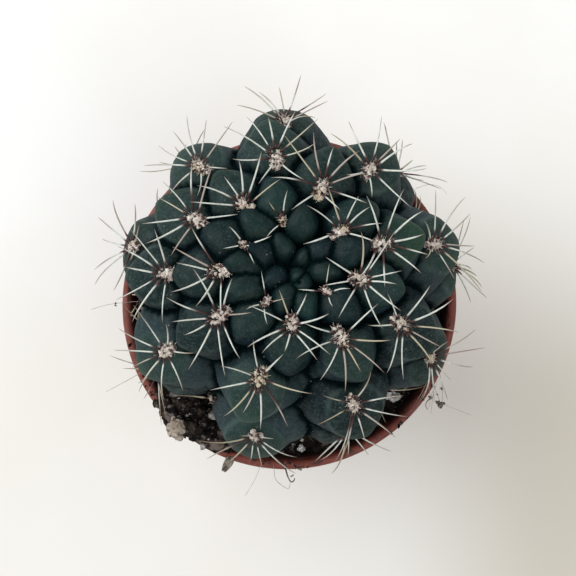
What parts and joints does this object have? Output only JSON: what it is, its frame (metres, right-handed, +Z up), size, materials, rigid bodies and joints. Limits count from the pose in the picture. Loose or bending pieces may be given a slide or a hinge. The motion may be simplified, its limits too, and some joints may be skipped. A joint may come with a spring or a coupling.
{
  "type": "potted chin cactus",
  "caption": "Chin cactus: a low dark blue-green ribbed globe of chin-shaped tubercles with woolly areoles and fans of pale spines, in a terracotta-coloured plastic nursery pot with potting mix.",
  "frame": {"origin": "middle of the pot's flat underside, on the surface that it stands on", "axes": "+Z up, +Y away from the viewer towards the side that the plant leans to, +X to the right as seen from above with +Y up the page"},
  "size_m": [0.0964, 0.0978, 0.1166],
  "materials": {
    "flesh": "waxy matte plant skin, dark blue-grey green with fine pale specks",
    "wool_and_spines": "dry, cream spines with dark red-brown roots, pinkish beige wool",
    "pot_plastic": "thin moulded plastic, terracotta colour, satin, dusty",
    "potting_mix": "dark moist peat with pale grit",
    "perlite": "rough white expanded perlite",
    "tan_stone": "rough tan pebble"
  },
  "bodies": {
    "root": {"areole_01": "wool_and_spines", "areole_02": "wool_and_spines", "areole_03": "wool_and_spines", "areole_04": "wool_and_spines", "areole_05": "wool_and_spines", "areole_06": "wool_and_spines", "areole_07": "wool_and_spines", "areole_08": "wool_and_spines", "areole_09": "wool_and_spines", "areole_10": "wool_and_spines", "areole_11": "wool_and_spines", "areole_12": "wool_and_spines", "areole_13": "wool_and_spines", "areole_14": "wool_and_spines", "areole_15": "wool_and_spines", "areole_16": "wool_and_spines", "areole_17": "wool_and_spines", "areole_18": "wool_and_spines", "areole_19": "wool_and_spines", "areole_20": "wool_and_spines", "areole_21": "wool_and_spines", "areole_22": "wool_and_spines", "areole_23": "wool_and_spines", "areole_24": "wool_and_spines", "areole_25": "wool_and_spines", "areole_26": "wool_and_spines", "areole_27": "wool_and_spines", "areole_28": "wool_and_spines", "areole_29": "wool_and_spines", "areole_30": "wool_and_spines", "areole_31": "wool_and_spines", "areole_32": "wool_and_spines", "areole_33": "wool_and_spines", "areole_34": "wool_and_spines", "areole_35": "wool_and_spines", "areole_36": "wool_and_spines", "areole_37": "wool_and_spines", "areole_38": "wool_and_spines", "areole_39": "wool_and_spines", "areole_40": "wool_and_spines", "cactus_body": "flesh", "perlite_front": "perlite", "perlite_right": "perlite", "pot": "pot_plastic", "soil": "potting_mix", "stone_tan": "tan_stone"}
  },
  "joints": []
}
